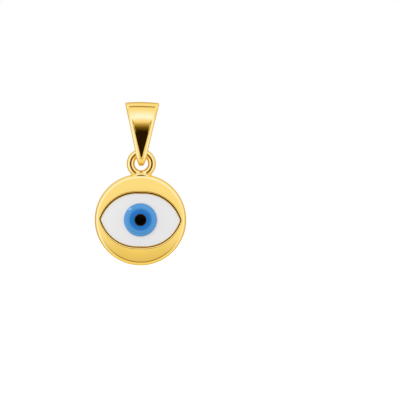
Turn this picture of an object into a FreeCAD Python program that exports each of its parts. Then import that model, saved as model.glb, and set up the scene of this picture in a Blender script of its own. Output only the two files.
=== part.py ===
import FreeCAD, Part
import math
import os
import Sketcher
from FreeCAD import Placement, Rotation, Vector

# Evil eye pendant: a gold disc with an enamelled eye, its soldered loop, and a tapered bail.
# The origin is the chain's seat, under the crown of the bail. +Z is up and the face looks along -Y.

# Driving dimensions in millimetres, each with what it measures.
# "Ahead" and "behind" count along Y from the plane of the hanging loop.
SIZES = [
    ("disc_diameter", 10.0, "outside of the round disc"),
    ("dome_radius", 17.0, "radius of the domed gold face"),
    ("face_ahead", 1.2, "crown of the gold face, ahead of the loop"),
    ("back_behind", 0.6, "flat back of the disc, behind the loop"),
    ("rim_round", 0.6, "round between the face and the side of the disc"),
    ("back_round", 0.35, "round between the back and the side of the disc"),
    ("eye_width", 9.0, "eye recess, corner to corner"),
    ("eye_height", 6.0, "eye recess, lid to lid"),
    ("recess_floor", 0.25, "floor of the eye recess, ahead of the loop"),
    ("piece_gap", 0.03, "gap left round each enamel piece"),
    ("enamel_drop", 0.12, "white enamel below the gold face"),
    ("iris_diameter", 3.6, "blue iris"),
    ("iris_back", 0.83, "flat back of the iris, ahead of the loop"),
    ("iris_edge", 1.0, "edge of the iris dome, ahead of the loop"),
    ("iris_rise", 0.45, "height of the iris dome"),
    ("pupil_diameter", 1.35, "black pupil"),
    ("pupil_back", 1.2, "flat back of the pupil, ahead of the loop"),
    ("pupil_edge", 1.4, "edge of the pupil dome, ahead of the loop"),
    ("pupil_rise", 0.1, "height of the pupil dome"),
    ("loop_hole", 1.48, "hole through the loop"),
    ("loop_wire", 0.86, "round wire of the loop"),
    ("loop_height", 6.15, "centre of the loop above the centre of the disc"),
    ("foot_radius", 1.8, "curved top of the foot under the loop"),
    ("foot_height", 5.15, "top of the foot above the centre of the disc"),
    ("foot_depth", 0.9, "foot, front to back"),
    ("bail_height", 7.04, "bail, top to bottom"),
    ("bail_crown_width", 3.73, "bail at its crown, before its edges are rounded"),
    ("bail_end_width", 0.69, "bail at its lower end"),
    ("bail_wall", 0.48, "thickness of the bail's band"),
    ("bail_edge_round", 0.3, "round along the outer edges of the band"),
    ("crown_radius", 1.05, "outside of the bail's upper bend"),
    ("front_radius", 4.2, "bulge of the bail's front"),
    ("front_drop", 3.1, "fullest point of the front below the crown"),
    ("crown_behind", 0.56, "middle of the upper bend, behind the loop"),
    ("bend_radius", 1.13, "outside of the bail's lower bend"),
    ("bend_inside", 0.72, "inside of the bail's lower bend"),
    ("bend_wall", 0.96, "thickness of the band at its lowest point"),
    ("loop_clearance", 0.06, "gap between the loop's wire and the bail"),
    ("saddle_width", 1.32, "rounded seat for the loop, side to side"),
    ("saddle_angle", 190.0, "rounded seat for the loop, degrees round the wire"),
    ("field_drop", 0.555, "top of the sunk front field below the crown"),
    ("field_width", 2.93, "sunk front field along its top"),
    ("field_height", 5.66, "sunk front field, top to point"),
    ("field_depth", 0.07, "how far the front field is sunk"),
]

# Values that several pieces share, in the words of the sheet.
LID_RADIUS = "(sizes.eye_width ^ 2 + sizes.eye_height ^ 2) / (4 * sizes.eye_height)"
LOOP_MIDDLE = "(sizes.loop_hole + sizes.loop_wire) / 2"
BAIL_BOTTOM = "(sizes.bail_wall - sizes.bail_height)"
WIRE_HEIGHT = f"({BAIL_BOTTOM} + sizes.bend_wall + sizes.loop_clearance + sizes.loop_wire / 2)"
DISC_HEIGHT = f"({WIRE_HEIGHT} - {LOOP_MIDDLE} - sizes.loop_height)"

# Ends of a sketch line or arc, and the sketch's own origin and axes.
START, END, CENTRE = 1, 2, 3
ORIGIN = (-1, 1)
ACROSS, UP = -1, -2


def make_sheet(doc):
    sheet = doc.addObject("Spreadsheet::Sheet", "sizes")
    for row, (alias, value, meaning) in enumerate(SIZES, start=1):
        sheet.set(f"A{row}", meaning)
        sheet.set(f"B{row}", str(value))
        sheet.setAlias(f"B{row}", alias)
    doc.recompute()
    return sheet


def make_body(doc, name):
    body = doc.addObject("PartDesign::Body", name)
    body.Label = name
    return body


def make_sketch(body, name, plane, forward=None, upward=None):
    """A sketch on one of the body's planes. forward and upward shift it, in the words of the sheet."""
    sketch = body.newObject("Sketcher::SketchObject", name)
    origin_plane = next(item for item in body.Origin.OriginFeatures if item.Role == plane)
    sketch.AttachmentSupport = [(origin_plane, "")]
    sketch.MapMode = "FlatFace"
    if forward:
        sketch.setExpression("AttachmentOffset.Base.z", forward)
    if upward:
        sketch.setExpression("AttachmentOffset.Base.y", upward)
    return sketch


def line(sketch, start, end):
    return sketch.addGeometry(Part.LineSegment(Vector(*start, 0), Vector(*end, 0)), False)


def arc(sketch, centre, radius, start_angle, end_angle):
    """An arc that runs anticlockwise between two angles in radians."""
    circle = Part.Circle(Vector(*centre, 0), Vector(0, 0, 1), radius)
    return sketch.addGeometry(Part.ArcOfCircle(circle, start_angle, end_angle), False)


def on_arc(centre, radius, angle):
    return centre[0] + radius * math.cos(angle), centre[1] + radius * math.sin(angle)


def tie(sketch, kind, *where):
    return sketch.addConstraint(Sketcher.Constraint(kind, *where))


def size(sketch, kind, name, expression, *where):
    """A named dimension of the sketch that follows an expression of the sheet."""
    number = sketch.evalExpression(expression)
    index = tie(sketch, kind, *where, float(number))
    sketch.renameConstraint(index, name)
    sketch.setExpression(f"Constraints.{name}", expression)


def smooth_chain(sketch, pieces):
    """Ties each piece's end to the start of the next, tangent to it."""
    for first, second in zip(pieces, pieces[1:]):
        tie(sketch, "Tangent", first, END, second, START)


def draw_almond(sketch, inset):
    """Two lids, each an arc about a centre across the eye, drawn in by an inset."""
    radius = sketch.evalExpression(f"{LID_RADIUS} - {inset}")
    offset = sketch.evalExpression(f"{LID_RADIUS} - sizes.eye_height / 2")
    corner = math.asin(offset / radius)
    upper = arc(sketch, (0, -offset), radius, corner, math.pi - corner)
    lower = arc(sketch, (0, offset), radius, math.pi + corner, 2 * math.pi - corner)
    tie(sketch, "PointOnObject", upper, START, ACROSS)
    tie(sketch, "PointOnObject", upper, END, ACROSS)
    tie(sketch, "PointOnObject", upper, CENTRE, UP)
    tie(sketch, "Coincident", upper, END, lower, START)
    tie(sketch, "Coincident", lower, END, upper, START)
    tie(sketch, "Equal", upper, lower)
    size(sketch, "Radius", "lid", f"{LID_RADIUS} - {inset}", upper)
    size(sketch, "DistanceY", "offset", f"{LID_RADIUS} - sizes.eye_height / 2", upper, CENTRE, *ORIGIN)


def draw_circle(sketch, name, radius, height=None):
    """A circle about the middle of the sketch, or raised up its axis by a height."""
    up = sketch.evalExpression(height) if height else 0.0
    circle = Part.Circle(Vector(0, up, 0), Vector(0, 0, 1), sketch.evalExpression(radius))
    index = sketch.addGeometry(circle, False)
    size(sketch, "Radius", f"{name}_radius", radius, index)
    if height:
        tie(sketch, "PointOnObject", index, CENTRE, UP)
        size(sketch, "DistanceY", f"{name}_height", height, *ORIGIN, index, CENTRE)
    else:
        tie(sketch, "Coincident", index, CENTRE, *ORIGIN)


def turn(body, name, sketch):
    """The sketch turned all the way round its upright axis, which is the body's Y."""
    solid = body.newObject("PartDesign::Revolution", name)
    solid.Profile = sketch
    solid.ReferenceAxis = (sketch, ["V_Axis"])
    solid.Angle = 360
    return solid


def pad(body, name, sketch, length):
    """The sketch made thick, equally to both sides."""
    solid = body.newObject("PartDesign::Pad", name)
    solid.Profile = sketch
    solid.SideType = "Symmetric"
    solid.setExpression("Length", length)
    return solid


def cut_forward(body, name, sketch):
    """Takes away all that lies ahead of the sketch, within its outline."""
    pocket = body.newObject("PartDesign::Pocket", name)
    pocket.Profile = sketch
    pocket.Type = "ThroughAll"
    pocket.Reversed = True
    return pocket


def cut_through(body, name, sketch):
    """Takes away all that lies within the sketch's outline, on both sides of it."""
    pocket = body.newObject("PartDesign::Pocket", name)
    pocket.Profile = sketch
    pocket.Type = "ThroughAll"
    pocket.SideType = "Symmetric"
    return pocket


def draw_dome(sketch, radius, back, edge, rise):
    """Half the section of a round piece: a flat back, an upright wall and a domed front.
    back and edge are distances ahead of the loop, and rise is the height of the dome."""
    dome = f"(({radius}) ^ 2 + ({rise}) ^ 2) / (2 * ({rise}))"
    wide, behind, shoulder, crown, reach = (
        sketch.evalExpression(text) for text in (radius, back, edge, rise, dome))
    middle = (0, reach - shoulder - crown)
    end_angle = math.acos(wide / reach)
    front = arc(sketch, middle, reach, -math.pi / 2, -end_angle)
    wall = line(sketch, (wide, -shoulder), (wide, -behind))
    floor = line(sketch, (wide, -behind), (0, -behind))
    axis = line(sketch, (0, -behind), (0, -shoulder - crown))
    ring = [front, wall, floor, axis]
    for first, second in zip(ring, ring[1:] + ring[:1]):
        tie(sketch, "Coincident", first, END, second, START)
    tie(sketch, "PointOnObject", front, START, UP)
    tie(sketch, "PointOnObject", front, CENTRE, UP)
    tie(sketch, "PointOnObject", floor, END, UP)
    tie(sketch, "Vertical", wall)
    tie(sketch, "Horizontal", floor)
    size(sketch, "DistanceX", "wide", radius, *ORIGIN, wall, START)
    size(sketch, "DistanceY", "shoulder", edge, wall, START, *ORIGIN)
    size(sketch, "DistanceY", "behind", back, wall, END, *ORIGIN)
    size(sketch, "Radius", "dome", dome, front)


def draw_disc_section(sketch, value):
    """Half the section of the disc: domed face, rounded rim, side, rounded edge and flat back."""
    half = value.disc_diameter / 2
    dome_middle = (0, value.dome_radius - value.face_ahead)
    rim_across = half - value.rim_round
    to_rim = value.dome_radius - value.rim_round
    rim_middle = (rim_across, dome_middle[1] - math.sqrt(to_rim ** 2 - rim_across ** 2))
    meet = math.atan2(rim_middle[1] - dome_middle[1], rim_across)
    back_middle = (half - value.back_round, value.back_behind - value.back_round)
    face = arc(sketch, dome_middle, value.dome_radius, -math.pi / 2, meet)
    rim = arc(sketch, rim_middle, value.rim_round, meet, 0)
    side = line(sketch, (half, rim_middle[1]), (half, back_middle[1]))
    edge = arc(sketch, back_middle, value.back_round, 0, math.pi / 2)
    back = line(sketch, (back_middle[0], value.back_behind), (0, value.back_behind))
    axis = line(sketch, (0, value.back_behind), (0, -value.face_ahead))
    smooth_chain(sketch, [face, rim, side, edge, back])
    tie(sketch, "Coincident", back, END, axis, START)
    tie(sketch, "Coincident", axis, END, face, START)
    tie(sketch, "PointOnObject", face, START, UP)
    tie(sketch, "PointOnObject", face, CENTRE, UP)
    tie(sketch, "PointOnObject", back, END, UP)
    tie(sketch, "Vertical", side)
    tie(sketch, "Horizontal", back)
    size(sketch, "Radius", "dome", "sizes.dome_radius", face)
    size(sketch, "Radius", "rim", "sizes.rim_round", rim)
    size(sketch, "Radius", "edge", "sizes.back_round", edge)
    size(sketch, "DistanceX", "half", "sizes.disc_diameter / 2", *ORIGIN, side, START)
    size(sketch, "DistanceY", "ahead", "sizes.face_ahead", face, START, *ORIGIN)
    size(sketch, "DistanceY", "behind", "sizes.back_behind", *ORIGIN, back, START)


def place_on_disc(piece):
    """Puts a piece that was drawn about the disc's centre where the disc hangs."""
    piece.setExpression("Placement.Base.y", "-sizes.crown_behind")
    piece.setExpression("Placement.Base.z", DISC_HEIGHT)


def make_pendant_body(doc, value):
    body = make_body(doc, "pendant_body")
    section = make_sketch(body, "disc_section", "XY_Plane")
    draw_disc_section(section, value)
    turn(body, "disc", section)

    foot_outline = make_sketch(body, "foot_outline", "XZ_Plane")
    draw_circle(foot_outline, "foot", "sizes.foot_radius", "sizes.foot_height - sizes.foot_radius")
    pad(body, "foot", foot_outline, "sizes.foot_depth")

    loop = body.newObject("PartDesign::AdditiveTorus", "loop")
    loop.Placement = Placement(Vector(0, 0, value.loop_height), Rotation(Vector(1, 0, 0), 90))
    loop.setExpression("Placement.Base.z", "sizes.loop_height")
    loop.setExpression("Radius1", LOOP_MIDDLE)
    loop.setExpression("Radius2", "sizes.loop_wire / 2")

    eye_outline = make_sketch(body, "eye_outline", "XZ_Plane", forward="sizes.recess_floor")
    draw_almond(eye_outline, "0")
    cut_forward(body, "eye_recess", eye_outline)
    place_on_disc(body)
    return body


def make_white_enamel(doc):
    body = make_body(doc, "white_enamel")
    reach = "(sizes.dome_radius - sizes.enamel_drop)"
    wide = "sizes.disc_diameter / 2 - sizes.back_round"
    level = f"({reach} - sqrt({reach} ^ 2 - ({wide}) ^ 2))"
    section = make_sketch(body, "enamel_section", "XY_Plane")
    draw_dome(section, wide, "sizes.recess_floor + sizes.piece_gap",
              f"sizes.face_ahead - sizes.enamel_drop - {level}", level)
    turn(body, "enamel_blank", section)

    surround = make_sketch(body, "surround", "XZ_Plane")
    draw_almond(surround, "sizes.piece_gap")
    draw_circle(surround, "surround", "sizes.disc_diameter")
    cut_through(body, "almond_cut", surround)

    seat = make_sketch(body, "iris_seat_outline", "XZ_Plane", forward="sizes.iris_back - sizes.piece_gap")
    draw_circle(seat, "seat", "sizes.iris_diameter / 2 + sizes.piece_gap")
    cut_forward(body, "iris_seat", seat)
    place_on_disc(body)
    return body


def make_blue_iris(doc):
    body = make_body(doc, "blue_iris")
    section = make_sketch(body, "iris_section", "XY_Plane")
    draw_dome(section, "sizes.iris_diameter / 2", "sizes.iris_back", "sizes.iris_edge", "sizes.iris_rise")
    turn(body, "iris_dome", section)

    seat = make_sketch(body, "pupil_seat_outline", "XZ_Plane", forward="sizes.pupil_back - sizes.piece_gap")
    draw_circle(seat, "seat", "sizes.pupil_diameter / 2 + sizes.piece_gap")
    cut_forward(body, "pupil_seat", seat)
    place_on_disc(body)
    return body


def make_black_pupil(doc):
    body = make_body(doc, "black_pupil")
    section = make_sketch(body, "pupil_section", "XY_Plane")
    draw_dome(section, "sizes.pupil_diameter / 2", "sizes.pupil_back", "sizes.pupil_edge", "sizes.pupil_rise")
    turn(body, "pupil_dome", section)
    place_on_disc(body)
    return body


def outer_tangent(first, second, side):
    """Angle of the outward normal of the line that touches two circles on one side, -1 front or 1 back."""
    (first_middle, first_radius), (second_middle, second_radius) = first, second
    across = first_middle[0] - second_middle[0]
    rise = first_middle[1] - second_middle[1]
    heading = math.atan2(rise, across)
    spread = math.acos((second_radius - first_radius) / math.hypot(across, rise))
    return heading - side * spread


def draw_band_side(sketch, value, inset, bend_radius, bend_rise):
    """Side of the bail as a closed line: upper bend, bulged front, lower bend and straight back.
    inset draws the upper parts in. The lower bend has its own radius and rise above the bottom."""
    drawn_in, lower_radius, lower_rise = (
        sketch.evalExpression(text) for text in (inset, bend_radius, bend_rise))
    crown_radius = value.crown_radius - drawn_in
    front_radius = value.front_radius - drawn_in
    crown = (0, value.bail_wall - value.crown_radius)
    front_level = value.bail_wall - value.front_drop
    front_across = math.sqrt((front_radius - crown_radius) ** 2 - (crown[1] - front_level) ** 2)
    front = (front_across, front_level)
    lower = (-value.crown_behind, value.bail_wall - value.bail_height + lower_rise + lower_radius)
    meet = math.atan2(crown[1] - front[1], crown[0] - front[0])
    front_normal = outer_tangent((front, front_radius), (lower, lower_radius), -1)
    back_normal = outer_tangent((crown, crown_radius), (lower, lower_radius), 1)

    upper_bend = arc(sketch, crown, crown_radius, back_normal, meet)
    bulge = arc(sketch, front, front_radius, meet, front_normal)
    front_run = line(sketch, on_arc(front, front_radius, front_normal), on_arc(lower, lower_radius, front_normal))
    lower_bend = arc(sketch, lower, lower_radius, front_normal, back_normal + 2 * math.pi)
    back_run = line(sketch, on_arc(lower, lower_radius, back_normal), on_arc(crown, crown_radius, back_normal))
    smooth_chain(sketch, [upper_bend, bulge, front_run, lower_bend, back_run, upper_bend])
    tie(sketch, "PointOnObject", upper_bend, CENTRE, UP)
    suffix = str(upper_bend)
    size(sketch, "DistanceY", f"crown_{suffix}", "sizes.crown_radius - sizes.bail_wall",
         upper_bend, CENTRE, *ORIGIN)
    size(sketch, "DistanceY", f"fullest_{suffix}", "sizes.front_drop - sizes.bail_wall", bulge, CENTRE, *ORIGIN)
    size(sketch, "Radius", f"upper_{suffix}", f"sizes.crown_radius - ({inset})", upper_bend)
    size(sketch, "Radius", f"bulge_{suffix}", f"sizes.front_radius - ({inset})", bulge)
    size(sketch, "Radius", f"lower_{suffix}", bend_radius, lower_bend)
    size(sketch, "DistanceX", f"ahead_{suffix}", "sizes.crown_behind", lower_bend, CENTRE, *ORIGIN)
    size(sketch, "DistanceY", f"low_{suffix}", f"-({BAIL_BOTTOM} + {bend_rise} + {bend_radius})",
         lower_bend, CENTRE, *ORIGIN)


def draw_wedge_sides(sketch, value):
    """The two pieces that are cut away beside the bail's tapered outline."""
    top = value.bail_wall
    bottom = value.bail_wall - value.bail_height
    for side, name in ((-1, "left"), (1, "right")):
        half_top = side * value.bail_crown_width / 2
        half_bottom = side * value.bail_end_width / 2
        outside = side * value.bail_crown_width
        taper = line(sketch, (half_top, top), (half_bottom, bottom))
        below = line(sketch, (half_bottom, bottom), (outside, bottom))
        beside = line(sketch, (outside, bottom), (outside, top))
        above = line(sketch, (outside, top), (half_top, top))
        ring = [taper, below, beside, above]
        for first, second in zip(ring, ring[1:] + ring[:1]):
            tie(sketch, "Coincident", first, END, second, START)
        tie(sketch, "Horizontal", below)
        tie(sketch, "Vertical", beside)
        tie(sketch, "Horizontal", above)
        size(sketch, "DistanceY", f"{name}_top", "sizes.bail_wall", *ORIGIN, taper, START)
        size(sketch, "DistanceY", f"{name}_bottom", f"-{BAIL_BOTTOM}", taper, END, *ORIGIN)
        for word, width, item, end in (
                ("crown", "sizes.bail_crown_width / 2", taper, START),
                ("end", "sizes.bail_end_width / 2", taper, END),
                ("outside", "sizes.bail_crown_width", beside, START)):
            order = (*ORIGIN, item, end) if side > 0 else (item, end, *ORIGIN)
            size(sketch, "DistanceX", f"{name}_{word}", width, *order)


def draw_saddle(sketch, value):
    """Half the section of the seat, about the loop's wire: as deep as the hole's edge beside the wire."""
    middle = (value.loop_hole + value.loop_wire) / 2
    radius = value.loop_hole / 2 - value.loop_clearance
    half = value.saddle_width / 2
    edge_angle = math.acos(half / radius)
    edge = -middle + radius * math.sin(edge_angle)
    left = line(sketch, (-half, 0), (-half, edge))
    hole = arc(sketch, (0, -middle), radius, edge_angle, math.pi - edge_angle)
    right = line(sketch, (half, edge), (half, 0))
    top = line(sketch, (half, 0), (-half, 0))
    tie(sketch, "Coincident", left, END, hole, END)
    tie(sketch, "Coincident", hole, START, right, START)
    tie(sketch, "Coincident", right, END, top, START)
    tie(sketch, "Coincident", top, END, left, START)
    tie(sketch, "Vertical", left)
    tie(sketch, "Vertical", right)
    tie(sketch, "PointOnObject", top, START, ACROSS)
    tie(sketch, "Symmetric", top, START, top, END, *ORIGIN)
    tie(sketch, "PointOnObject", hole, CENTRE, UP)
    size(sketch, "DistanceX", "width", "sizes.saddle_width", top, END, top, START)
    size(sketch, "DistanceY", "middle", LOOP_MIDDLE, hole, CENTRE, *ORIGIN)
    size(sketch, "Radius", "hole", "sizes.loop_hole / 2 - sizes.loop_clearance", hole)


def draw_field(sketch, value):
    """The bail's front field: a triangle with its point down."""
    top = value.bail_wall - value.field_drop
    half = value.field_width / 2
    point = (0, top - value.field_height)
    upper = line(sketch, (-half, top), (half, top))
    right = line(sketch, (half, top), point)
    left = line(sketch, point, (-half, top))
    tie(sketch, "Coincident", upper, END, right, START)
    tie(sketch, "Coincident", right, END, left, START)
    tie(sketch, "Coincident", left, END, upper, START)
    tie(sketch, "Horizontal", upper)
    tie(sketch, "PointOnObject", right, END, UP)
    tie(sketch, "Equal", right, left)
    size(sketch, "DistanceX", "width", "sizes.field_width", upper, START, upper, END)
    size(sketch, "DistanceY", "drop", "sizes.field_drop - sizes.bail_wall", upper, START, *ORIGIN)
    size(sketch, "DistanceY", "height", "sizes.field_height", right, END, right, START)


def outer_edges(shape, outline, value):
    """Names of the edges that lie on the band's outer side, found by their distance from its outline."""
    near = 0.001
    names = []
    for number, edge in enumerate(shape.Edges, start=1):
        middle = edge.valueAt((edge.FirstParameter + edge.LastParameter) / 2)
        beside = Part.Vertex(Vector(0, middle.y, middle.z))
        down = (value.bail_wall - middle.z) / value.bail_height
        half = (value.bail_crown_width + (value.bail_end_width - value.bail_crown_width) * down) / 2
        if abs(abs(middle.x) - half) < near and beside.distToShape(outline)[0] < near:
            names.append(f"Edge{number}")
    return names


def make_bail(doc, value):
    band = make_body(doc, "bail_band")
    side = make_sketch(band, "band_side", "YZ_Plane")
    draw_band_side(side, value, "0", "sizes.bend_radius", "0")
    draw_band_side(side, value, "sizes.bail_wall", "sizes.bend_inside", "sizes.bend_wall")
    pad(band, "band", side, "2 * sizes.bail_crown_width")

    wedge = make_sketch(band, "wedge_sides", "XZ_Plane")
    draw_wedge_sides(wedge, value)
    tapered = cut_through(band, "tapered_band", wedge)
    doc.recompute()

    outline = max(side.Shape.Wires, key=lambda wire: wire.Length)
    rounded = band.newObject("PartDesign::Fillet", "rounded_edges")
    rounded.Base = (tapered, outer_edges(tapered.Shape, outline, value))
    rounded.setExpression("Radius", "sizes.bail_edge_round")

    seat = make_sketch(band, "saddle_section", "XZ_Plane", forward="sizes.crown_behind", upward=WIRE_HEIGHT)
    draw_saddle(seat, value)
    saddle = band.newObject("PartDesign::Groove", "saddle")
    saddle.Profile = seat
    saddle.ReferenceAxis = (seat, ["H_Axis"])
    saddle.Midplane = True
    saddle.setExpression("Angle", "sizes.saddle_angle")

    prism = make_body(doc, "field_prism")
    field = make_sketch(prism, "field_outline", "XZ_Plane")
    draw_field(field, value)
    front = prism.newObject("PartDesign::Pad", "field_front")
    front.Profile = field
    front.setExpression("Length", "2 * sizes.crown_radius + sizes.bail_wall")

    floor = make_body(doc, "field_floor")
    floor_side = make_sketch(floor, "floor_side", "YZ_Plane")
    draw_band_side(floor_side, value, "sizes.field_depth", "sizes.bend_radius - sizes.field_depth",
                   "sizes.field_depth")
    pad(floor, "floor", floor_side, "2 * sizes.bail_crown_width")

    cutter = doc.addObject("Part::Cut", "field_cutter")
    cutter.Base = prism
    cutter.Tool = floor
    bail = doc.addObject("Part::Cut", "bail")
    bail.Label = "bail"
    bail.Base = band
    bail.Tool = cutter
    return bail


def check_and_write(doc, pieces):
    doc.recompute()
    for item in doc.Objects:
        if "Invalid" in item.State or "Error" in item.State:
            raise RuntimeError(f"{item.Name} failed: {item.State}")
    os.makedirs("parts", exist_ok=True)
    for piece in pieces:
        shape = piece.Shape
        if shape.isNull() or not shape.isValid() or len(shape.Solids) != 1:
            raise RuntimeError(f"{piece.Label} isn't one valid solid")
        print(piece.Label, "volume", round(shape.Volume, 3), "box", shape.BoundBox)
        shape.exportStep(f"parts/{piece.Label}.step")


def main():
    doc = FreeCAD.newDocument("evil_eye_pendant")
    value = make_sheet(doc)
    pieces = [
        make_pendant_body(doc, value),
        make_white_enamel(doc),
        make_blue_iris(doc),
        make_black_pupil(doc),
        make_bail(doc, value),
    ]
    check_and_write(doc, pieces)


main()
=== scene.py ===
import bpy
import math
import numpy as np
from mathutils import Matrix, Vector


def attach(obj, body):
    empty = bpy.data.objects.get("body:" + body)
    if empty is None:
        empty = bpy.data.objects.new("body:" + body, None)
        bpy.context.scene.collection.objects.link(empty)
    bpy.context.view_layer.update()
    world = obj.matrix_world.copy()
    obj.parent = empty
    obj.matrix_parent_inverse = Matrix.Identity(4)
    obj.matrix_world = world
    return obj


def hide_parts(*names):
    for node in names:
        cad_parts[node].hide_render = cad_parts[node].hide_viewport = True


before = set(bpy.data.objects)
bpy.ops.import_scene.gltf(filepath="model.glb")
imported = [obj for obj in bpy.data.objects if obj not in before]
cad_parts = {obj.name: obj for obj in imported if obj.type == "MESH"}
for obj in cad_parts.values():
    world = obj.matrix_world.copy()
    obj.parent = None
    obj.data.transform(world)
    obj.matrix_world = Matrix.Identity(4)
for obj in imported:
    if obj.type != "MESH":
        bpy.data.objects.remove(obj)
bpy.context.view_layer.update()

# Evil eye pendant: a polished gold disc with an enamelled eye, its loop, and a tapered bail.
# All sizes are in millimetres from the chain's seat, +Z up, with the eye looking along -Y.

mm = 0.001


def linear(code):  # sRGB hex to the linear colour that a shader works in
    parts = [int(code[i:i + 2], 16) / 255 for i in (1, 3, 5)]
    return tuple(p / 12.92 if p <= 0.04045 else ((p + 0.055) / 1.055) ** 2.4 for p in parts) + (1.0,)


def addNode(tree, kind, settings=None, **links):  # one node, its settings, and what feeds its sockets
    node = tree.nodes.new(kind)
    for key, value in (settings or {}).items():
        setattr(node, key, value)
    for key, value in links.items():  # a socket goes by its name, or by its number after an i
        numbered = key[0] == "i" and key[1:].isdigit()
        socket = node.inputs[int(key[1:]) if numbered else key.replace("_", " ")]
        if isinstance(value, bpy.types.NodeSocket):
            tree.links.new(value, socket)
        else:
            socket.default_value = value
    return node


def smoothStep(low, high, value):  # 0 below low, 1 above high, eased between
    t = np.clip((value - low) / (high - low), 0, 1)
    return t * t * (3 - 2 * t)


def closedSurface(rows, startPole=None, endPole=None, wrap=False):
    # Rows of points, each row a closed ring. Neighbouring rows are joined by quads, the last row
    # joins the first where wrap is set, and a pole closes an open end with a fan of triangles.
    rows = np.asarray(rows, float)
    count, around = rows.shape[:2]
    index = np.arange(count * around).reshape(count, around)
    if wrap:
        index = np.vstack([index, index[:1]])
    a, b = index[:-1], index[1:]
    quads = np.stack([a, np.roll(a, -1, 1), np.roll(b, -1, 1), b], -1).reshape(-1, 4)
    verts = rows.reshape(-1, 3)
    fans = []
    for pole, ring, turn in ((startPole, index[0], 1), (endPole, index[-1], -1)):
        if pole is not None:
            tip = np.full(around, len(verts))
            verts = np.vstack([verts, pole])
            fans.append(np.stack([tip, np.roll(ring, -1), ring][::turn], -1))
    return verts, quads, fans


def volumeOf(points, quads, fans):  # signed volume, positive where the faces look outwards
    total = 0.0
    for faces in [quads] + fans:
        first = points[faces[:, 0]]
        for k in range(1, faces.shape[1] - 1):
            total += np.einsum("ij,ij->i", first, np.cross(points[faces[:, k]], points[faces[:, k + 1]])).sum()
    return total / 6


def makePiece(name, surfaces, material, node, body):
    # Joins closed surfaces into one mesh, faces outwards, and gives it its finish and its place in the frame.
    verts, loops, sizes, base = [], [], [], 0
    for points, quads, fans in surfaces:
        signed = volumeOf(points, quads, fans)
        for faces in [quads] + fans:
            faces = faces if signed > 0 else faces[:, ::-1]
            loops.append((faces + base).ravel())
            sizes.append(np.full(len(faces), faces.shape[1]))
        verts.append(points)
        base += len(points)
    verts, loops, sizes = np.vstack(verts) * mm, np.concatenate(loops), np.concatenate(sizes)
    mesh = bpy.data.meshes.new(name)
    mesh.vertices.add(len(verts))
    mesh.vertices.foreach_set("co", verts.ravel())
    mesh.loops.add(len(loops))
    mesh.loops.foreach_set("vertex_index", loops.astype(np.int32))
    mesh.polygons.add(len(sizes))
    mesh.polygons.foreach_set("loop_start", np.concatenate([[0], np.cumsum(sizes)[:-1]]).astype(np.int32))
    mesh.update(calc_edges=True)
    mesh.validate()
    mesh.polygons.foreach_set("use_smooth", np.ones(len(mesh.polygons), bool))
    piece = bpy.data.objects.new(name, mesh)
    bpy.context.scene.collection.objects.link(piece)
    mesh.materials.append(material)
    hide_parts(node)
    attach(piece, body)
    print(name, len(verts), "points", int((sizes - 2).sum()), "triangles")
    return piece


gold = {
    "colour": "#FEDC80",      # 18 carat yellow gold
    "smoothest": 0.03,        # roughness of a mirror polish from a felt wheel, between its hairlines
    "roughest": 0.075,        # and on them
    "waveSize": 0.9,          # mm between the slow waves that hand polishing leaves
    "waveHeight": 0.0006,     # mm
    "hairSize": 0.06,         # mm between polishing hairlines, drawn coarser than real ones so that they show
    "hairStretch": 0.12,      # the hairlines run up and down, so their pattern is stretched along Z
    "hairNoise": (0.3, 0.75),  # where the pattern's noise mostly lies
}


def polishedGold():
    # Hand-polished 18 carat gold: clear reflections in warm yellow, deeper orange where gold sees gold,
    # with slow waves in the surface and hairlines that only soften the gloss.
    material = bpy.data.materials.new("polished gold")
    material.use_nodes = True
    tree = material.node_tree
    shader = tree.nodes["Principled BSDF"]
    shader.inputs["Base Color"].default_value = linear(gold["colour"])
    shader.inputs["Metallic"].default_value = 1.0
    place = addNode(tree, "ShaderNodeTexCoord").outputs["Object"]
    waves = addNode(tree, "ShaderNodeTexNoise", Vector=place, Scale=1 / (gold["waveSize"] * mm), Detail=1.0)
    hairs = addNode(tree, "ShaderNodeMapping", Vector=place, Scale=(1.0, 1.0, gold["hairStretch"]))
    hairs = addNode(tree, "ShaderNodeTexNoise", Vector=hairs.outputs[0], Scale=1 / (gold["hairSize"] * mm), Detail=3.0)
    low, high = gold["hairNoise"]
    gloss = addNode(tree, "ShaderNodeMapRange", Value=hairs.outputs[0], From_Min=low, From_Max=high,
                    To_Min=gold["smoothest"], To_Max=gold["roughest"])
    tree.links.new(gloss.outputs[0], shader.inputs["Roughness"])
    bump = addNode(tree, "ShaderNodeBump", Height=waves.outputs[0], Distance=gold["waveHeight"] * mm, Strength=1.0)
    tree.links.new(bump.outputs[0], shader.inputs["Normal"])
    return material


enamel = {
    "white": "#F2F1EF",
    "blue": "#1B78C8",
    "paleBlueAndSheen": "#4294D0",    # outer ring of the iris: partly the enamel's own paler blue, partly painted sheen standing in for the dome's reflection
    "ringInside": 1.05,       # mm from the pupil's middle, where the ring's soft border begins
    "ringOutside": 1.29,
    "black": "#050403",
    "roughness": 0.05,        # glass that flowed in the kiln and was polished
    "ior": 1.62,              # glass with lead in it
    "flowSize": 0.7,          # mm between the slow waves of the fired glass
    "flowHeight": 0.0012,     # mm
    "mottle": 0.05,           # how far the colour drifts, as a share
    "whiteMottle": 0.012,
    "mottleSize": 0.45,       # mm between its clouds
}
blendColours = {"data_type": "RGBA"}
easeBetween = {"interpolation_type": "SMOOTHSTEP"}


def shaded(code, share):  # a colour made darker or lighter by a share
    return tuple(min(1.0, part * share) for part in linear(code)[:3]) + (1.0,)


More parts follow.
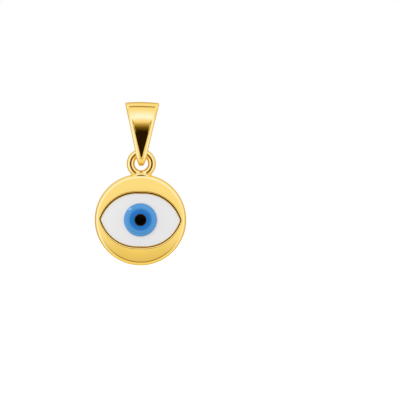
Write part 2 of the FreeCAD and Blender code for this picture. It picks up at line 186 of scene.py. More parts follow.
def vitreousEnamel(name, colour, drift, ring=None):
    # Fired glass enamel: opaque colour under a clear wet gloss, with a faint drift in the colour
    # and the slow waves of glass that has flowed.
    material = bpy.data.materials.new(name)
    material.use_nodes = True
    tree = material.node_tree
    shader = tree.nodes["Principled BSDF"]
    shader.inputs["Roughness"].default_value = enamel["roughness"]
    shader.inputs["IOR"].default_value = enamel["ior"]
    place = addNode(tree, "ShaderNodeTexCoord").outputs["Object"]
    clouds = addNode(tree, "ShaderNodeTexNoise", Vector=place, Scale=1 / (enamel["mottleSize"] * mm), Detail=4.0)
    dark, light = shaded(colour, 1 - drift), shaded(colour, 1 + drift)
    if ring:  # two blues, laid in rings round the pupil; the paler outer ring is partly painted sheen standing in for the dome's reflection
        middle = Vector(disc["centre"]) * mm
        away = addNode(tree, "ShaderNodeVectorMath", {"operation": "SUBTRACT"}, i0=place, i1=middle)
        flat = addNode(tree, "ShaderNodeVectorMath", {"operation": "MULTIPLY"}, i0=away.outputs[0], i1=(1.0, 0.0, 1.0))
        far = addNode(tree, "ShaderNodeVectorMath", {"operation": "LENGTH"}, i0=flat.outputs[0])
        # painted sheen: the iris is lighter towards its edge, partly its own paler enamel and partly a stand-in for
        # reflected light
        outside = addNode(tree, "ShaderNodeMapRange", easeBetween, Value=far.outputs["Value"],
                          From_Min=enamel["ringInside"] * mm, From_Max=enamel["ringOutside"] * mm).outputs[0]
        dark, light = (addNode(tree, "ShaderNodeMix", blendColours, i0=outside, i6=tone, i7=outer).outputs[2]
                       for tone, outer in ((dark, shaded(ring, 1 - drift)), (light, shaded(ring, 1 + drift))))
    tint = addNode(tree, "ShaderNodeMix", blendColours, i0=clouds.outputs[0], i6=dark, i7=light)
    tree.links.new(tint.outputs[2], shader.inputs["Base Color"])
    flow = addNode(tree, "ShaderNodeTexNoise", Vector=place, Scale=1 / (enamel["flowSize"] * mm), Detail=1.0)
    bump = addNode(tree, "ShaderNodeBump", Height=flow.outputs[0], Distance=enamel["flowHeight"] * mm, Strength=1.0)
    tree.links.new(bump.outputs[0], shader.inputs["Normal"])
    return material


disc = {
    "centre": (0.0, -0.56, -12.43),
    "radius": 5.0,
    "lidHeight": 0.933,       # face above the loop's plane, at the middle of a lid
    "lidSlope": 14.2,         # degrees, face at the middle of a lid
    "rimSlope": 15.6,         # degrees, face where the rim's round begins
    "rimGentle": 1.1,         # radius of the rim's first turn, down to the slope below
    "rimTurn": 23.0,          # degrees, slope at which the first turn ends
    "rimRound": 0.5,          # radius of the rest of its turn
    "back": -0.6,
    "backRound": 0.35,
    "backRings": (4.55, 3.0, 1.5),  # radii of the rings on the flat back
    "eyeWidth": 9.0,
    "eyeHeight": 6.0,
    "fullness": 0.041,        # how far the lids swell past plain arcs, as a share
    "lidBlend": (0.1, -0.6),  # sines of the angle between which the upper lid's values give way to the lower's
    "edgeRound": 0.09,        # polished edge of the face along the lids
    "lowerRound": 0.16,       # and along the lower lid
    "cornerEase": 0.45,       # how slowly that edge narrows towards the eye's corners
    "grooveWidth": 0.12,      # shadow groove inside the lids
    "lowerGroove": 0.07,      # and inside the lower lid
    "grooveFloor": 0.36,      # ahead of the loop's plane
    "lipDrop": 0.055,         # top of the lip below the face
    "lipRound": 0.035,        # thin gold wire between the groove and the enamel
    "recessFloor": 0.25,
    "recessMargin": 0.02,     # of the recess's floor under the lip
    "around": 720,
}

goldFinish = polishedGold()
whiteFinish = vitreousEnamel("white vitreous enamel", enamel["white"], enamel["whiteMottle"])
blueFinish = vitreousEnamel("blue vitreous enamel", enamel["blue"], enamel["mottle"], enamel["paleBlueAndSheen"])
blackFinish = vitreousEnamel("black vitreous enamel", enamel["black"], enamel["mottle"])
print("finishes made")

angles = np.linspace(0, 2 * np.pi, disc["around"], endpoint=False)


def almond(inset):
    # Distance from the eye's middle to a lid, at each angle: each lid is an arc whose centre lies
    # beyond the middle, swollen a little between corner and middle, and inset draws both arcs in.
    half, high = disc["eyeWidth"] / 2, disc["eyeHeight"] / 2
    reach = (half * half + high * high) / (2 * high)
    offset = reach - high
    rise = offset * np.abs(np.sin(angles))
    distance = -rise + np.sqrt(rise ** 2 + (reach - inset) ** 2 - offset ** 2)
    return distance * (1 + disc["fullness"] * np.abs(np.sin(2 * angles)))


def lower(upperValue, lowerValue):  # a value that goes from one on the upper lid to another on the lower lid
    return upperValue + (lowerValue - upperValue) * smoothStep(*disc["lidBlend"], np.sin(angles))


def faceHeight(radius):
    # The gold face falls outwards at a slope that grows evenly from the lid to the rim.
    start, first, last = disc["eyeHeight"] / 2, math.radians(disc["lidSlope"]), math.radians(disc["rimSlope"])
    bend = (last - first) / (disc["radius"] - start)
    return disc["lidHeight"] + (np.log(np.cos(first + bend * (radius - start))) - math.log(math.cos(first))) / bend


def onDisc(radius, height):  # a ring about the disc's centre, at a distance and a height ahead of the loop's plane
    x, y, z = disc["centre"]
    radius, height = np.broadcast_arrays(radius * np.ones(len(angles)), height * np.ones(len(angles)))
    return np.stack([x + radius * np.cos(angles), y - height, z + radius * np.sin(angles)], -1)


def discSurface():
    # Rings from the recess's floor out over its lip, groove and edge, across the face, round the rim and to the back.
    width = lower(disc["grooveWidth"], disc["lowerGroove"])
    edgeRound = lower(disc["edgeRound"], disc["lowerRound"])
    lip = disc["lipRound"]
    lid = almond(0)
    lidLevel = faceHeight(lid)
    slopes = np.linspace(math.radians(disc["rimSlope"]), np.pi / 2, 120)
    rounding = np.where(slopes < math.radians(disc["rimTurn"]), disc["rimGentle"], disc["rimRound"])
    steps = (rounding[1:] + rounding[:-1]) / 2 * np.diff(slopes)
    middles = (slopes[1:] + slopes[:-1]) / 2
    outwards = np.concatenate([[0], np.cumsum(steps * np.cos(middles))])  # the rim's turn, summed from its slopes
    drops = np.concatenate([[0], np.cumsum(steps * np.sin(middles))])
    rimStart = disc["radius"] - outwards[-1]
    edge = edgeRound * (1 - np.exp((lid - rimStart) * disc["cornerEase"] / edgeRound))  # narrower at the corners
    floor = almond(width + 2 * lip + disc["recessMargin"])
    rings = [onDisc(floor * share, disc["recessFloor"]) for share in (0.5, 1.0)]
    lipLevel = lidLevel - disc["lipDrop"]
    for turn in np.radians(np.linspace(-90, 90, 9)):  # half-round lip
        rings.append(onDisc(almond(width + lip - lip * np.sin(turn)), lipLevel - lip + lip * np.cos(turn)))
    for share in (0.02, 0.1, 0.25, 0.5, 0.75, 0.9, 0.98):  # flat floor of the groove
        rings.append(onDisc(almond(width * (1 - share)), disc["grooveFloor"]))
    inner = almond(-edge)
    innerLevel = faceHeight(inner)
    for share in np.linspace(0, 1, 9):  # small round up on to the face
        turn = (np.pi / 2) * (1 - share)
        rings.append(onDisc(almond(-edge * (1 - np.sin(turn))), innerLevel - edge * (1 - np.cos(turn))))
    for share in np.linspace(0.03, 0.97, 12):  # the domed face
        radius = inner + (rimStart - inner) * share
        rings.append(onDisc(radius, faceHeight(radius)))
    for outward, drop in zip(outwards[::3], drops[::3]):  # round the rim, at every third slope
        rings.append(onDisc(rimStart + outward, faceHeight(rimStart) - drop))
    soft = disc["backRound"]
    for turn in np.linspace(0, np.pi / 2, 12):  # round to the back
        rings.append(onDisc(disc["radius"] - soft * (1 - np.cos(turn)), disc["back"] + soft * (1 - np.sin(turn))))
    for radius in disc["backRings"]:
        rings.append(onDisc(radius, disc["back"]))
    x, y, z = disc["centre"]
    return closedSurface(rings, (x, y - disc["recessFloor"], z), (x, y - disc["back"], z))


loop = {
    "hole": 1.48,
    "wire": 0.86,
    "height": 6.15,           # centre of the loop above the centre of the disc
    "seatFlat": 0.28,         # how much the wire is flattened where it is soldered to the foot, as a share
    "seatFrom": -0.86,        # sine of the angle round the ring at which that begins
    "footRadius": 1.62,
    "footTop": 5.36,          # above the centre of the disc
    "footDepth": 0.94,
    "footTaper": 0.58,        # how much thinner front to back at its ends, as a share
    "footThick": 0.96,
    "footNose": 1.5,          # 1 is an oval, more is a sharper front
    "footReach": 60.0,        # degrees each side of the top, where the foot's ends sink into the disc
}


def loopSurface():  # a round wire bent into a ring: a circle carried round a circle, flatter at its lowest point
    x, y, z = disc["centre"]
    middle, wire = (loop["hole"] + loop["wire"]) / 2, loop["wire"] / 2
    along = np.linspace(0, 2 * np.pi, 256, endpoint=False)[:, None]
    turn = np.linspace(0, 2 * np.pi, 96, endpoint=False)[None, :]
    radius = middle + wire * np.cos(turn)
    deep = wire * (1 - loop["seatFlat"] * smoothStep(loop["seatFrom"], -1.0, np.sin(along)))
    points = np.stack([x + radius * np.cos(along), y + deep * np.sin(turn),
                       z + loop["height"] + radius * np.sin(along)], -1)
    return closedSurface(points, wrap=True)


def footSurface():
    # An oval bar that follows an arc over the disc's top, thinner towards its ends, which lie inside the disc.
    x, y, z = disc["centre"]
    reach = math.radians(loop["footReach"])
    along = np.linspace(-1, 1, 64)[:, None]
    turn = np.linspace(0, 2 * np.pi, 64, endpoint=False)[None, :]
    deep = loop["footDepth"] / 2 * (1 - loop["footTaper"] * along ** 2)
    radius = loop["footRadius"] - loop["footThick"] / 2 * (1 - np.sin(turn))
    bend = np.pi / 2 - along * reach
    middle = z + loop["footTop"] - loop["footRadius"]
    nose = np.sign(np.cos(turn)) * np.abs(np.cos(turn)) ** loop["footNose"]
    points = np.stack([x + radius * np.cos(bend), y + deep * nose, middle + radius * np.sin(bend)], -1)
    return closedSurface(points, points[0].mean(0), points[-1].mean(0))


makePiece("pendantBody", [discSurface(), loopSurface(), footSurface()], goldFinish, "pendant_body", "pendant")


eye = {
    "edgeInset": 0.052,       # enamel's edge, inside the groove
    "edgeDrop": 0.1,          # enamel's edge below the gold face at the lid
    "meniscus": 0.05,         # how far the fired glass climbs at its edge
    "meniscusWidth": 0.22,
    "level": 0.985,           # enamel at the eye's middle, ahead of the loop's plane
    "crispness": 0.05,        # run of the wall under the edge that keeps the shading crisp
    "back": 0.28,
    "irisRadius": 1.8,
    "irisEdge": 1.0,          # edge of the iris ahead of the loop's plane
    "irisCentreSlope": 8.0,   # degrees, slope of the calm middle at its border
    "irisCalm": 1.12,         # radius of the calm middle
    "irisEdgeSlope": 38.0,
    "irisPast": 0.25,         # how far past its border the shoulder would level out
    "irisGain": 1.25,         # and how much it is steepened, so that it reaches its slope by the border
    "wallTop": 0.04,          # run of the iris's and the pupil's wall that keeps the shading crisp
    "irisBack": 0.83,
    "pupilRadius": 0.695,
    "pupilRise": 0.02,        # pupil above the iris
    "pupilFlat": 0.62,        # radius where it begins to sink back to the iris
    "pupilBack": 1.2,
}


def whiteSurface():
    # From the middle out to the almond's edge: nearly flat glass that follows the lids' level and climbs a little
    # at its edge, then a wall back down to a flat back.
    edge = almond(lower(disc["grooveWidth"], disc["lowerGroove"]) + eye["edgeInset"])
    lidLevel = faceHeight(almond(0)) - eye["edgeDrop"]
    middleLevel = eye["level"]
    rings = []
    for share in np.concatenate([np.linspace(0.04, 0.9, 30), np.linspace(0.91, 0.995, 14)]):
        level = middleLevel + (lidLevel - eye["meniscus"] - middleLevel) * share ** 2
        climb = eye["meniscus"] * np.exp(-(1 - share) * edge / eye["meniscusWidth"])
        rings.append(onDisc(edge * share, level + climb))
    rings.append(onDisc(edge, lidLevel))
    rings.append(onDisc(edge, lidLevel - eye["crispness"]))
    rings.append(onDisc(edge, eye["back"]))
    rings.append(onDisc(edge * 0.5, eye["back"]))
    x, y, z = disc["centre"]
    return closedSurface(rings, (x, y - middleLevel, z), (x, y - eye["back"], z))


def irisHeight(radius):
    # A calm middle that steepens into a rounded shoulder: the slope is summed outwards from the centre.
    steps = np.linspace(0, eye["irisRadius"], 400)
    calm, edge = math.radians(eye["irisCentreSlope"]), math.radians(eye["irisEdgeSlope"])
    steepening = smoothStep(eye["irisCalm"], eye["irisRadius"] + eye["irisPast"], steps)
    slope = calm * np.minimum(steps / eye["irisCalm"], 1) + (edge - calm) * steepening * eye["irisGain"]
    fall = np.concatenate([[0], np.cumsum(np.tan((slope[1:] + slope[:-1]) / 2)) * (steps[1] - steps[0])])
    return eye["irisEdge"] + fall[-1] - np.interp(radius, steps, fall)


def roundSurface(radii, heights, back):  # rings from the centre out over a domed front, then a wall down to a flat back
    rings = [onDisc(r, h) for r, h in zip(radii, heights)]
    wallTop = heights[-1] - eye["wallTop"]
    rings += [onDisc(radii[-1], wallTop), onDisc(radii[-1], back), onDisc(radii[-1] * 0.5, back)]
    x, y, z = disc["centre"]
    return closedSurface(rings, (x, y - heights[0], z), (x, y - back, z))


irisRadii = np.linspace(0.03, eye["irisRadius"], 60)
pupilRadii = np.linspace(0.02, eye["pupilRadius"], 24)
pupilLift = eye["pupilRise"] * smoothStep(eye["pupilRadius"], eye["pupilFlat"], pupilRadii)
pupilLevels = irisHeight(pupilRadii) + pupilLift
enamelPieces = [
    makePiece("whiteEnamel", [whiteSurface()], whiteFinish, "white_enamel", "pendant"),
    makePiece("blueIris", [roundSurface(irisRadii, irisHeight(irisRadii), eye["irisBack"])],
              blueFinish, "blue_iris", "pendant"),
    makePiece("blackPupil", [roundSurface(pupilRadii, pupilLevels, eye["pupilBack"])],
              blackFinish, "black_pupil", "pendant"),
]


bail = {
    "top": 0.48,
    "bottom": -6.56,
    "crownWidth": 3.73,
    "endWidth": 0.69,
    "wall": 0.48,
    "crownRadius": 1.05,
    "frontRadius": 4.2,
    "frontDrop": 3.1,
    "bendBehind": -0.56,      # middle of the lower bend along Y
    "bendRadius": 1.13,
    "bendInside": 0.72,
    "bendWall": 0.96,
    "stations": 420,
    "edgeWide": 0.36,         # rounded shoulder along the back's and crown's edges, side to side
    "edgeShare": 0.9,         # most of the half width that it takes
    "edgeDeep": 0.3,          # the shoulder, front to back
    "edgeStart": 24.0,        # degrees, slope at which the shoulder begins beside the field
    "edgeFades": (-6.35, -5.75),   # heights between which that slope grows from nothing, so that the tip is round
    "crownEdge": 0.4,         # how much of the shoulder is left on the crown, as a share
    "crownBlend": (-0.1, 0.5),     # heights above the field's top between which it shrinks to that
    "crownArch": 0.1,         # how far the crown's ends droop
    "archFrom": -2.0,         # height at which the droop begins
    "frontBlend": (0.3, -0.5),     # along Y, where the back's shoulder becomes the front's
    "borderBlend": (0.4, -0.05),   # heights above the field's top where the crown's does
    "innerRound": 0.06,
    "innerLeast": 0.02,       # least metal left between the shoulder and that round
    "fieldTop": 0.04,
    "fieldWidth": 2.97,
    "fieldHeight": 5.79,
    "fieldLeast": 0.02,       # half width of the field's point
    "borderLeast": 0.1,       # least width of the border beside it
    "lineWide": 0.1,          # cut line along the field's borders
    "lineShare": 0.4,         # most of the field's half width that it takes
    "lineDeep": 0.06,
    "lineTop": -1.3,          # where it begins, and where it is deepest
    "lineDeepest": -1.95,
    "lineEnd": -2.9,          # where it has run out
    "lineGrowth": 1.5,        # power with which it deepens
    "lineEase": 0.3,          # height over which the rows close in on it
    "wallWide": 0.004,        # its upright walls, and the run beside them that keeps the shading crisp
    "creaseDepth": 0.08,      # small step down across the front, under the crown
    "creaseHigh": 0.11,
    "creaseFades": (-5.2, -1.2),   # heights between which the step fades out again
    "creaseRows": (14, 0.1),  # how much closer together the stations lie at the step, and over what height
    "tipRidge": 0.07,         # slope of the low ridge under the field's point, each side
    "tipReach": 0.5,          # height over which it levels out
    "tipGone": 3,             # and over how many times that it is gone
    "seatAngle": 94.0,        # degrees each side of straight down, up to which the loop swings
    "seatFade": 36.0,         # degrees past that over which the seat ends
    "seatEdge": 0.03,         # least metal left between the shoulder and the seat
    "seatLeast": 0.02,        # mm2, what is left under the seat's root past the edge of the loop's hole
    "clearance": 0.06,
}


def bandLine(inset, bendRadius, bendRise, shares):
    # Side view of the band as one closed line of two bends, a bulged front and a straight back.
    # Each share counts the line's five runs: 0 to 1 is the upper bend, 1 to 2 the bulge, and so on.
    crownRadius, frontRadius = bail["crownRadius"] - inset, bail["frontRadius"] - inset
    crown = np.array([0.0, bail["top"] - bail["crownRadius"]])
    level = bail["top"] - bail["frontDrop"]
    front = np.array([math.sqrt((frontRadius - crownRadius) ** 2 - (crown[1] - level) ** 2), level])
    bend = np.array([bail["bendBehind"], bail["bottom"] + bendRise + bendRadius])
    meet = math.atan2(crown[1] - front[1], crown[0] - front[0])
    frontNormal = touching(front, frontRadius, bend, bendRadius, -1)
    backNormal = touching(crown, crownRadius, bend, bendRadius, 1)
    run = np.clip(np.floor(shares), 0, 4).astype(int)
    part = shares - run
    starts = np.array([backNormal, meet, frontNormal, frontNormal, backNormal])
    ends = np.array([meet, frontNormal, frontNormal, backNormal + 2 * np.pi, backNormal])
    turn = starts[run] + (ends[run] - starts[run]) * part
    firstMiddle = np.array([crown, front, front, bend, bend])[run]
    lastMiddle = np.array([crown, front, bend, bend, crown])[run]
    firstRadius = np.array([crownRadius, frontRadius, frontRadius, bendRadius, bendRadius])[run]
    lastRadius = np.array([crownRadius, frontRadius, bendRadius, bendRadius, crownRadius])[run]
    normal = np.stack([np.cos(turn), np.sin(turn)], -1)
    first = firstMiddle + firstRadius[:, None] * normal
    last = lastMiddle + lastRadius[:, None] * normal
    return first + (last - first) * part[:, None], normal


def touching(first, firstRadius, second, secondRadius, side):  # outward normal of the line that touches two circles
    across, rise = first - second
    return math.atan2(rise, across) - side * math.acos((secondRadius - firstRadius) / math.hypot(across, rise))


def halfWidth(z):  # the bail tapers evenly downwards
    down = (bail["top"] - z) / (bail["top"] - bail["bottom"])
    return (bail["crownWidth"] + (bail["endWidth"] - bail["crownWidth"]) * down) / 2


def evenShares(count):
    # Stations along the band, even along its length and closer together at the crease's step.
    fine = np.linspace(0, 5, 6000, endpoint=False)
    line = bandLine(0, bail["bendRadius"], 0, fine)[0]
    length = np.hypot(*(np.roll(line, -1, 0) - line).T)
    closer, reach = bail["creaseRows"]
    atStep = np.exp(-((line[:, 1] - bail["fieldTop"] + bail["creaseHigh"] / 2) / reach) ** 2) * (line[:, 0] < 0)
    weight = length * (1 + closer * atStep)
    total = np.concatenate([[0], np.cumsum(weight)])
    return np.interp(np.linspace(0, total[-1], count, endpoint=False), total, np.append(fine, 5.0))


def frontRelief(y, z):
    # Depths under the outer line at each station of the front: the cut line, the crease and the ridge. The cut line
    # deepens to its deepest place and runs out below it. The crease is a step that fades out slowly down the front.
    # The ridge falls away to both sides of the field's point.
    ahead = y < 0
    top, deepest, end = bail["lineTop"], bail["lineDeepest"], bail["lineEnd"]
    growing = np.clip((top - z) / (top - deepest), 0, 1) ** bail["lineGrowth"]
    fading = np.clip((z - end) / (deepest - end), 0, 1)
    cut = bail["lineDeep"] * np.minimum(growing, fading) * ahead
    step = np.clip((bail["fieldTop"] - z) / bail["creaseHigh"], 0, 1)
    crease = bail["creaseDepth"] * step * ahead * smoothStep(*bail["creaseFades"], z)
    away = np.abs(z - bail["fieldTop"] + bail["fieldHeight"]) / bail["tipReach"]
    fall = bail["tipRidge"] * bail["tipReach"]
    ridge = np.where(away < 1, fall * (away - away ** 2 / 2), fall / 2 * smoothStep(bail["tipGone"], 1, away)) * ahead
    return cut, crease, ridge


def halfWidths(y, z):
    # At each station: half the band's width, half the flat before its shoulder, half the field's width, and how much
    # of the shoulder is left. Beside the field the shoulder starts at the field's border.
    top = bail["fieldTop"]
    crownLow, crownHigh = bail["crownBlend"]
    borderHigh, borderLow = bail["borderBlend"]
    half = halfWidth(z)
    shoulderLeft = 1 - (1 - bail["crownEdge"]) * smoothStep(top + crownLow, top + crownHigh, z)
    onFront = smoothStep(*bail["frontBlend"], y) * smoothStep(top + borderHigh, top + borderLow, z)
    plain = half - np.minimum(bail["edgeWide"] * shoulderLeft, half * bail["edgeShare"])
    field = bail["fieldWidth"] / 2 * (1 - (top - z) / bail["fieldHeight"])
    field = np.clip(field, bail["fieldLeast"], half - bail["borderLeast"])
    flat = plain + (field - plain) * onFront
    return half, flat, np.minimum(field, flat - bail["wallWide"]), shoulderLeft


def flatRows(y, z, flat, field, cut):
    # Rows from the middle line out over the flat, as distance from that line and depth. They close in on the cut
    # line's walls where it runs, and are evenly spaced elsewhere.
    wall, ease = bail["wallWide"], bail["lineEase"]
    line = np.minimum(bail["lineWide"], field * bail["lineShare"])
    inside = field - line - 2 * wall
    place = [inside * share for share in np.linspace(0, 1, 10)]
    depth = [0 * z] * len(place)
    for away, deep in ((line + wall, 0), (line, 1), (line - wall, 1), (2 * wall, 1), (wall, 1), (0, 0)):
        place.append(field - away)
        depth.append(cut * deep)
    started = smoothStep(bail["lineTop"] + ease, bail["lineTop"], z)
    atLine = started * smoothStep(bail["lineEnd"] - ease, bail["lineEnd"], z) * (y < 0)
    for row in range(len(place)):
        even = flat * row / len(place)
        place[row] = even + (place[row] - even) * atLine
    return place + [flat], depth + [0 * z]


def bailSurface():
    # A closed ring of the section at each station: from the middle of the outer face to the right, over the rounded
    # shoulder, down the side and back across the inner face, and the same mirrored to the left.
    shares = evenShares(bail["stations"])
    outer, normal = bandLine(0, bail["bendRadius"], 0, shares)
    inner = bandLine(bail["wall"], bail["bendInside"], bail["bendWall"], shares)[0]
    y, z = outer.T
    cut, crease, ridge = frontRelief(y, z)
    half, flat, field, shoulderLeft = halfWidths(y, z)
    place, depth = flatRows(y, z, flat, field, cut)
    crest = len(place)  # rows before the shoulder
    start = np.radians(bail["edgeStart"] * smoothStep(*bail["edgeFades"], z))
    for share in np.linspace(0, 1, 20)[1:]:  # the shoulder, part of an oval from its first slope to upright
        turn = start + (np.pi / 2 - start) * share
        place.append(flat + (half - flat) * (np.sin(turn) - np.sin(start)) / (1 - np.sin(start)))
        depth.append(bail["edgeDeep"] * shoulderLeft * (1 - np.cos(turn) / np.cos(start)))
    place = np.array(place)
    arch = bail["crownArch"] * smoothStep(bail["archFrom"], bail["top"], z) * (place / half) ** 2
    depth = np.array(depth) + crease + ridge + arch
    lip = bail["innerRound"]
    across = inner - outer
    thick = np.hypot(*across.T)[:, None]
    across = across / thick
    depth = np.minimum(depth, thick[:, 0] - lip - bail["innerLeast"])

    def point(x, line):
        return np.stack([x, line[..., 0], line[..., 1]], -1)

    rows = [point(x, outer - normal * down[:, None]) for x, down in zip(place, depth)]
    down = depth[-1][:, None]
    for share in (0.33, 0.66, 1.0):  # down the side
        line = outer + across * (down + (thick - lip - down) * share)
        rows.append(point(halfWidth(line[:, 1]), line))
    for turn in np.radians(np.linspace(15, 90, 6)):  # small round to the inner face
        line = outer + across * (thick - lip + lip * math.sin(turn))
        rows.append(point(halfWidth(line[:, 1]) - lip * (1 - math.cos(turn)), line))
    rows = stopAtLoop(np.array(rows), crest)
    edge = rows[-1, :, 0]
    face = [point(edge * share, awayFromLoop(edge * share, inner)) for share in np.linspace(0.96, 0, 24)]
    right = np.concatenate([rows, face])
    left = right[::-1] * np.array([-1.0, 1, 1])
    ring = np.concatenate([right, left[1:-1]]).transpose(1, 0, 2)
    return closedSurface(ring, wrap=True)


def fromWire(x, line):
    # How far each point lies from the middle of the loop's wire, seen from the side, and how far it has to be for
    # the loop to swing: the hole is a circle, so that grows away from the middle. Above the wire the need fades out.
    middleRadius = (loop["hole"] + loop["wire"]) / 2
    hinge = np.array([bail["bendBehind"], disc["centre"][2] + loop["height"] + middleRadius])
    away = line - hinge
    distance = np.hypot(away[..., 0], away[..., 1])
    width = (loop["hole"] / 2 - bail["clearance"]) ** 2 - x ** 2
    needed = middleRadius - np.sqrt(np.clip(width, bail["seatLeast"], None))
    turn = np.degrees(np.arctan2(np.abs(away[..., 0]), -away[..., 1]))
    fade = smoothStep(bail["seatAngle"], bail["seatAngle"] + bail["seatFade"], turn)
    return away, distance, needed + (loop["wire"] / 2 + bail["clearance"] - needed) * fade


def awayFromLoop(x, line):  # a point that lies too near the wire moves straight away from it
    away, distance, needed = fromWire(x, line)
    return line + away / distance[..., None] * np.maximum(needed - distance, 0)[..., None]


def stopAtLoop(rows, crest):
    # Each station's rows run out over the outer face and down the side. Where they come too near the wire they stop,
    # and the rows past the crest close up, so that the inner face starts there.
    distance, needed = fromWire(rows[..., 0], rows[..., 1:])[1:]
    gap = distance - needed - bail["seatEdge"]
    last, stations = len(rows) - 1, np.arange(rows.shape[1])
    near = (gap < 0).any(0)
    first = np.where(near, np.maximum((gap < 0).argmax(0), 1), last)
    before, after = gap[first - 1, stations], gap[first, stations]
    stop = np.where(near, first - 1 + before / np.where(near, before - after, 1), last)
    index = np.arange(last + 1)[:, None]
    index = np.where(index > crest, crest + (index - crest) * (stop - crest) / (last - crest), index)
    low = np.clip(np.floor(index).astype(int), 0, last - 1)
    part = (index - low)[..., None]
    return rows[low, stations] * (1 - part) + rows[low + 1, stations] * part


makePiece("bail", [bailSurface()], goldFinish, "bail", "bail")
print("pieces made")


studio = {
    # Each light's tint and strength.
    "lights": {
        "card": ("#FFC400", 0.02),      # dark card round the lens
        "shade": ("#FFD573", 0.14),     # the card's soft edge
        "glow": ("#FFE090", 0.42),      # and where the edge meets the tent, lit warm from the gold
        "room": ("#FFF8D6", 0.97),      # walls beside and below
        "tent": ("#FFFFFF", 1.0),       # white tent
        "softbox": ("#A4B8FF", 2.7),    # daylight softbox
        "amber": ("#FFE28C", 0.66),     # warm backdrop, which only the edges mirror
    },
    # Which light stands at each angle from straight ahead, in degrees.
    "above": [(1, "card"), (11, "shade"), (18.5, "glow"), (29.5, "tent"), (32, "tent"), (40, "softbox"),
              (46, "softbox"), (68, "tent"), (105, "tent"), (135, "amber"), (180, "amber")],
    "left": [(12, "card"), (20, "glow"), (31, "tent"), (38, "tent"), (52, "softbox"), (64, "softbox"), (84, "tent"),
             (110, "amber"), (180, "amber")],
    "right": [(12, "card"), (20, "glow"), (31, "tent"), (45, "tent"), (52, "softbox"), (57, "softbox"), (68, "tent"),
              (95, "room"), (115, "amber"), (180, "amber")],
    "below": [(11, "card"), (17, "glow"), (23, "room"), (29.5, "room"), (37, "glow"), (40, "shade"),
              (43, "glow"), (50, "room"), (100, "room"), (135, "amber"), (180, "amber")],
    "upBlend": (0.0, 1.0),    # sines of the rise between which beside gives way to above
    "downBlend": (-0.3, -0.95),    # and to below
    "acrossBlend": (-0.2, 0.2),    # along X, where left gives way to right
    "scale": 3.0,             # brightest light that the ramps hold
    "onEnamel": 0.94,         # even light that the enamel's own colour takes
    "keyWay": (-0.62, -0.5, 0.62),   # from the eye to the key light
    "keyDistance": 150.0,
    "keySize": 24.0,
    "keyBrightness": 10.0,
    "floorHalf": 400.0,       # half the table's width
    "floorLevel": -21.0,
    "floorColour": "#F4F4F4",
    "floorRoughness": 0.9,
    "floorGlow": 0.35,
}


def ramp(tree, value, stops):  # light against an angle, as a colour ramp over half a turn
    node = addNode(tree, "ShaderNodeValToRGB", Fac=value)
    band = node.color_ramp
    for stop in stops[1:-1]:
        band.elements.new(stop[0] / 180)
    for item, (place, name) in zip(band.elements, stops):
        tint, strength = studio["lights"][name]
        item.position = place / 180
        item.color = tuple(part * strength / studio["scale"] for part in linear(tint)[:3]) + (1.0,)
    return node.outputs[0]


def softStudio():
    # The world that the gold mirrors: a ramp of light against the angle from straight ahead, for each of the four
    # sides, blended from one side to the next. Rough surfaces and the camera see plain white instead.
    world = bpy.data.worlds.new("soft studio")
    bpy.context.scene.world = world
    world.use_nodes = True
    tree = world.node_tree
    out = tree.nodes["World Output"]
    light = tree.nodes["Background"]
    way = addNode(tree, "ShaderNodeSeparateXYZ", Vector=addNode(tree, "ShaderNodeTexCoord").outputs["Generated"])
    ahead = addNode(tree, "ShaderNodeMath", {"operation": "MULTIPLY"}, i0=way.outputs[1], i1=-1.0)
    angle = addNode(tree, "ShaderNodeMath", {"operation": "ARCCOSINE"}, i0=ahead.outputs[0])
    angle = addNode(tree, "ShaderNodeMath", {"operation": "DIVIDE"}, i0=angle.outputs[0], i1=math.pi)
    aside = addNode(tree, "ShaderNodeMath", {"operation": "ABSOLUTE"}, i0=way.outputs[0])
    side = addNode(tree, "ShaderNodeMath", {"operation": "ARCTAN2"}, i0=way.outputs[2], i1=aside.outputs[0])
    rise = addNode(tree, "ShaderNodeMath", {"operation": "SINE"}, i0=side.outputs[0])
    up, down, across = (
        addNode(tree, "ShaderNodeMapRange", easeBetween, Value=value.outputs[0],
                From_Min=studio[name][0], From_Max=studio[name][1], To_Min=0.0, To_Max=1.0).outputs[0]
        for value, name in ((rise, "upBlend"), (rise, "downBlend"), (way, "acrossBlend")))
    above, below, left, right = (
        ramp(tree, angle.outputs[0], studio[name]) for name in ("above", "below", "left", "right"))
    beside = addNode(tree, "ShaderNodeMix", blendColours, i0=across, i6=left, i7=right)
    upper = addNode(tree, "ShaderNodeMix", blendColours, i0=up, i6=beside.outputs[2], i7=above)
    whole = addNode(tree, "ShaderNodeMix", blendColours, i0=down, i6=upper.outputs[2], i7=below)
    tree.links.new(whole.outputs[2], light.inputs["Color"])
    light.inputs["Strength"].default_value = studio["scale"]
    path = addNode(tree, "ShaderNodeLightPath")
    even, white = (addNode(tree, "ShaderNodeBackground", Color=(1.0, 1.0, 1.0, 1.0), Strength=strength).outputs[0]
                   for strength in (studio["onEnamel"], 1.0))
    soft = addNode(tree, "ShaderNodeMixShader", i0=path.outputs["Is Diffuse Ray"], i1=light.outputs[0], i2=even)
    both = addNode(tree, "ShaderNodeMixShader", i0=path.outputs["Is Camera Ray"], i1=soft.outputs[0], i2=white)
    tree.links.new(both.outputs[0], out.inputs["Surface"])


def keyLight():
    # A soft square light, high on the left, whose gleam shows on the enamel. It lights the enamel alone.
    lamp = bpy.data.lights.new("key softbox", "AREA")
    lamp.shape = "SQUARE"
    lamp.size = studio["keySize"] * mm
    lamp.energy = studio["keyBrightness"] * math.pi * lamp.size ** 2
    way = Vector(studio["keyWay"]).normalized()
    holder = bpy.data.objects.new("key softbox", lamp)
    bpy.context.scene.collection.objects.link(holder)
    target = Vector(disc["centre"]) * mm
    holder.location = target + way * studio["keyDistance"] * mm
    holder.rotation_euler = way.to_track_quat("Z", "Y").to_euler()
    glass = bpy.data.collections.new("enamel under the key light")
    for piece in enamelPieces:
        glass.objects.link(piece)
    holder.light_linking.receiver_collection = glass


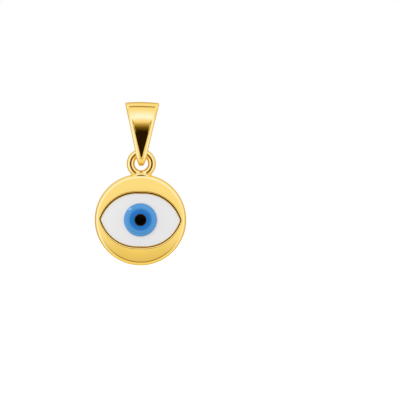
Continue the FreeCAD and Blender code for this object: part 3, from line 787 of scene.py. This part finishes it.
def paleFloor():
    # A plain pale table under the hanging pendant, lit evenly, that mirrors don't pick up.
    half, level = studio["floorHalf"] * mm, studio["floorLevel"] * mm
    corners = [(x * half, y * half, level) for x, y in ((-1, -1), (1, -1), (1, 1), (-1, 1))]
    mesh = bpy.data.meshes.new("floor")
    mesh.from_pydata(corners, [], [(0, 1, 2, 3)])
    floor = bpy.data.objects.new("floor", mesh)
    bpy.context.scene.collection.objects.link(floor)
    material = bpy.data.materials.new("pale table")
    material.use_nodes = True
    shader = material.node_tree.nodes["Principled BSDF"]
    shader.inputs["Base Color"].default_value = linear(studio["floorColour"])
    shader.inputs["Roughness"].default_value = studio["floorRoughness"]
    shader.inputs["Emission Color"].default_value = (1, 1, 1, 1)
    shader.inputs["Emission Strength"].default_value = studio["floorGlow"]
    mesh.materials.append(material)
    floor.visible_glossy = False
    floor.visible_diffuse = False


softStudio()
keyLight()
paleFloor()
print("studio lit")


view = {
    "frame": 400,             # pixels across and down
    "pixel": 0.1093,          # mm of the object to one of them
    "sensor": 36.0,           # mm
    "distance": 350.0,        # mm from the object
    "middle": (0.0, -1.2, -8.475),  # the object's middle, which the camera faces squarely
    "place": (141.0, 183.65),       # where that middle falls in the frame, in pixels
    "roll": 0.87,             # degrees
    "nearest": 10.0,          # mm from the camera at which the view begins
}

camera = bpy.data.cameras.new("camera")
camera.sensor_width = view["sensor"]
camera.sensor_fit = "HORIZONTAL"
camera.lens = camera.sensor_width * view["distance"] / (view["frame"] * view["pixel"])
camera.shift_x = (view["frame"] / 2 - view["place"][0]) / view["frame"]
camera.shift_y = (view["place"][1] - view["frame"] / 2) / view["frame"]
camera.clip_start = view["nearest"] * mm
holder = bpy.data.objects.new("camera", camera)
bpy.context.scene.collection.objects.link(holder)
bpy.context.scene.camera = holder
holder.location = Vector(view["middle"]) * mm + Vector((0, -view["distance"] * mm, 0))
facing = Matrix.Rotation(math.radians(90), 3, "X")
roll = Matrix.Rotation(math.radians(view["roll"]), 3, "Z")
holder.rotation_euler = (facing @ roll).to_euler()
bpy.context.scene.view_settings.view_transform = "Standard"
print("camera placed")
